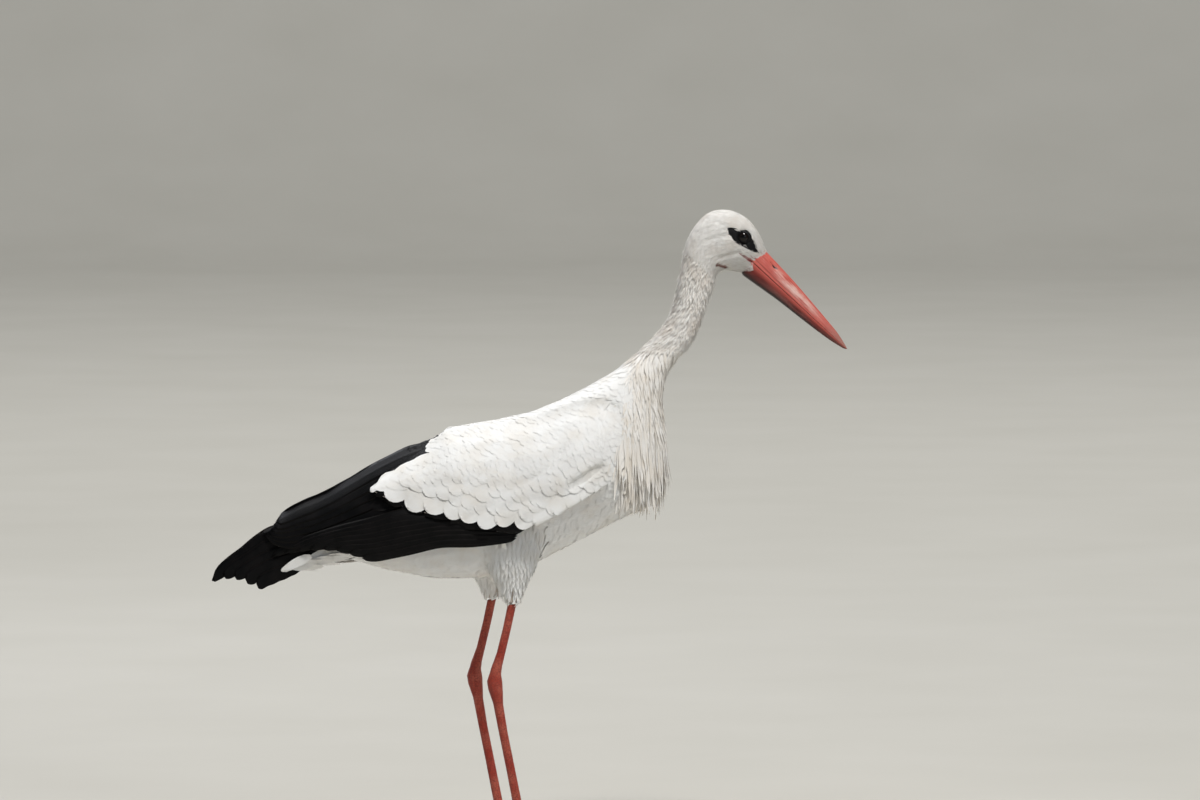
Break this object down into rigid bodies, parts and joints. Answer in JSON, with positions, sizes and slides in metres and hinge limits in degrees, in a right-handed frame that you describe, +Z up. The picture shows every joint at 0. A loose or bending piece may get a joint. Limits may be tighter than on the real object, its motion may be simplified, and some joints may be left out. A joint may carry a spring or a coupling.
{
  "type": "white stork figure",
  "caption": "Life-size still model of a walking white stork, neck raised, bill lowered forward, wings folded, standing on both feet.",
  "frame": {"origin": "on the floor under the middle of the bird's box", "axes": "+X the way the bill points, +Y the bird's left, +Z up"},
  "size_m": [0.7955, 0.1712, 0.8006],
  "materials": {
    "white_feather": "matt feathers",
    "black_feather": "slightly glossy feathers",
    "bill_horn": "satin horn",
    "leg_skin": "scaly skin",
    "claw_horn": "dull horn",
    "eye": "wet gloss"
  },
  "bodies": {
    "root": {"head": "white_feather", "neck": "white_feather", "breast": "white_feather", "trunk": "white_feather", "tail": "white_feather", "bill_upper": "bill_horn", "bill_lower": "bill_horn", "eye_right": "eye", "wing_right_coverts": "white_feather", "wing_right_tertials": "black_feather", "wing_right_secondaries": "black_feather", "wing_right_primaries": "black_feather", "thigh_right": "white_feather", "shank_right": "leg_skin", "tarsus_right": "leg_skin", "foot_right": "leg_skin", "claw_right_inner": "claw_horn", "claw_right_middle": "claw_horn", "claw_right_outer": "claw_horn", "claw_right_hind": "claw_horn", "eye_left": "eye", "wing_left_coverts": "white_feather", "wing_left_tertials": "black_feather", "wing_left_secondaries": "black_feather", "wing_left_primaries": "black_feather", "thigh_left": "white_feather", "shank_left": "leg_skin", "tarsus_left": "leg_skin", "foot_left": "leg_skin", "claw_left_inner": "claw_horn", "claw_left_middle": "claw_horn", "claw_left_outer": "claw_horn", "claw_left_hind": "claw_horn"}
  },
  "joints": []
}
